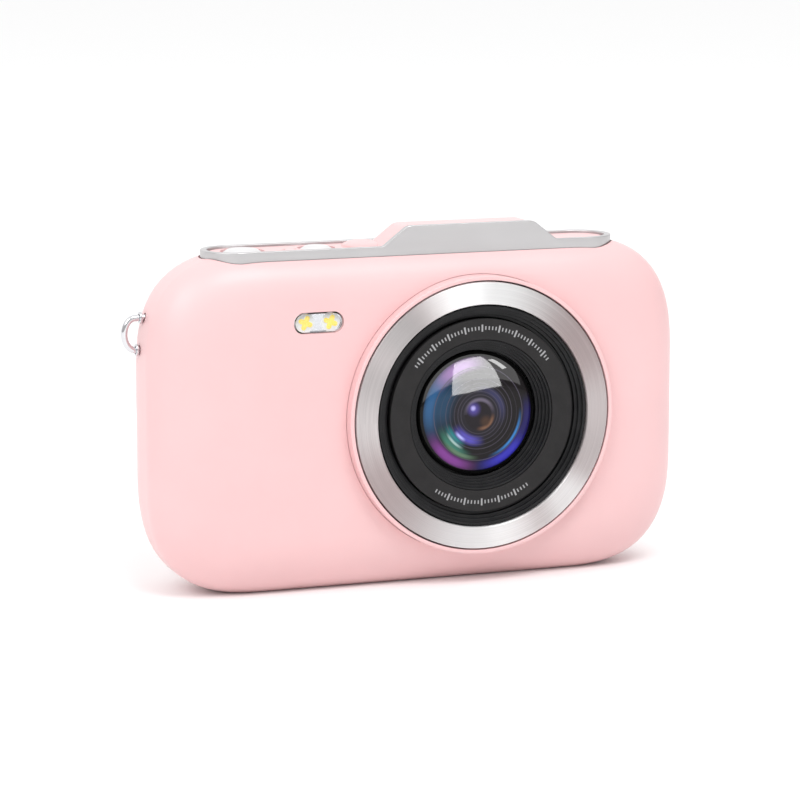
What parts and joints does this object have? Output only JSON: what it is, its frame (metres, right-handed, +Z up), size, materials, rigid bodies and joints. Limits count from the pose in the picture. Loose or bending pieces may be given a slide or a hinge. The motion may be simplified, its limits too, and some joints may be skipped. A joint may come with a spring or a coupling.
{
  "type": "compact digital camera",
  "caption": "Compact digital camera with a rounded pillow body, large stepped lens, raised top trim, press buttons, rear display and keys, hinged port cover and wire strap loop.",
  "frame": {"origin": "on the flat base, under the middle of the body's outline, at the body plane between front and back", "axes": "-Y the way the lens looks, +Z up, +X towards the port cover's side, right as seen from the front"},
  "size_m": [0.1058, 0.0278, 0.0662],
  "materials": {
    "body_pink": "satin moulded plastic",
    "silver_trim": "satin silver",
    "turned_silver": "turned, circular brushing",
    "chrome": "polished",
    "black_plastic": "fine matte",
    "charcoal_plastic": "matte",
    "lens_glass": "coated, polished",
    "clear_cover": "clear, polished",
    "lamp_yellow": "phosphor",
    "circuit_board": "solder mask",
    "steel": "plain",
    "battery_wrap": "foil pouch",
    "screen_glass": "polished",
    "key_white": "satin"
  },
  "bodies": {
    "housing": {"front_shell": "body_pink", "rear_cover": "body_pink", "top_frame": "silver_trim", "top_deck": "body_pink", "top_board": "circuit_board", "power_switch": "black_plastic", "shutter_switch": "black_plastic", "status_led": "key_white", "microphone": "black_plastic", "lens_collar": "body_pink", "lens_ring": "turned_silver", "lens_bezel": "black_plastic", "lens_face_plate": "charcoal_plastic", "lens_cone": "black_plastic", "front_lens": "lens_glass", "lens_barrel": "black_plastic", "aperture_plate": "black_plastic", "rear_lens": "lens_glass", "lens_holder": "black_plastic", "infrared_filter": "clear_cover", "image_sensor": "black_plastic", "sensor_board": "circuit_board", "flash_window": "clear_cover", "flash_reflector": "chrome", "flash_led_left": "lamp_yellow", "flash_led_right": "lamp_yellow", "flash_board": "circuit_board", "strap_loop": "chrome", "strap_ferrule_lower": "chrome", "strap_ferrule_upper": "chrome", "strap_anchor": "black_plastic", "key_board": "circuit_board", "display_window": "screen_glass", "display_panel": "screen_glass", "display_frame": "steel", "main_board": "circuit_board", "battery": "battery_wrap", "speaker": "black_plastic", "usb_socket": "steel", "card_slot": "steel", "memory_card": "black_plastic", "case_screw_1": "steel", "case_screw_2": "steel", "case_screw_3": "steel", "case_screw_4": "steel"},
    "power_button": {"power_button": "silver_trim"},
    "shutter_button": {"shutter_button": "silver_trim"},
    "key_ok": {"key_ok": "key_white"},
    "key_right": {"key_right": "key_white"},
    "key_up": {"key_up": "key_white"},
    "key_left": {"key_left": "key_white"},
    "key_down": {"key_down": "key_white"},
    "key_menu": {"key_menu": "key_white"},
    "key_playback": {"key_playback": "key_white"},
    "port_cover": {"port_cover": "body_pink"}
  },
  "joints": [
    {"name": "power_press", "type": "slide", "parent": "housing", "child": "power_button", "axis": [0, 0, -1], "range_m": [0, 0.0006], "stiffness_N_per_m": 1500, "springref_m": -0.0004},
    {"name": "shutter_press", "type": "slide", "parent": "housing", "child": "shutter_button", "axis": [0, 0, -1], "range_m": [0, 0.0006], "stiffness_N_per_m": 1500, "springref_m": -0.0004},
    {"name": "key_ok_press", "type": "slide", "parent": "housing", "child": "key_ok", "axis": [0, -1, 0], "range_m": [0, 0.0005], "stiffness_N_per_m": 1500, "springref_m": -0.0004},
    {"name": "key_right_press", "type": "slide", "parent": "housing", "child": "key_right", "axis": [0, -1, 0], "range_m": [0, 0.0005], "stiffness_N_per_m": 1500, "springref_m": -0.0004},
    {"name": "key_up_press", "type": "slide", "parent": "housing", "child": "key_up", "axis": [0, -1, 0], "range_m": [0, 0.0005], "stiffness_N_per_m": 1500, "springref_m": -0.0004},
    {"name": "key_left_press", "type": "slide", "parent": "housing", "child": "key_left", "axis": [0, -1, 0], "range_m": [0, 0.0005], "stiffness_N_per_m": 1500, "springref_m": -0.0004},
    {"name": "key_down_press", "type": "slide", "parent": "housing", "child": "key_down", "axis": [0, -1, 0], "range_m": [0, 0.0005], "stiffness_N_per_m": 1500, "springref_m": -0.0004},
    {"name": "key_menu_press", "type": "slide", "parent": "housing", "child": "key_menu", "axis": [0, -1, 0], "range_m": [0, 0.0005], "stiffness_N_per_m": 1500, "springref_m": -0.0004},
    {"name": "key_playback_press", "type": "slide", "parent": "housing", "child": "key_playback", "axis": [0, -1, 0], "range_m": [0, 0.0005], "stiffness_N_per_m": 1500, "springref_m": -0.0004},
    {"name": "port_cover_hinge", "type": "hinge", "parent": "housing", "child": "port_cover", "pos_m": [0.05035, 0.0026, 0.0301], "axis": [0, 0, 1], "range_deg": [0, 100]}
  ]
}
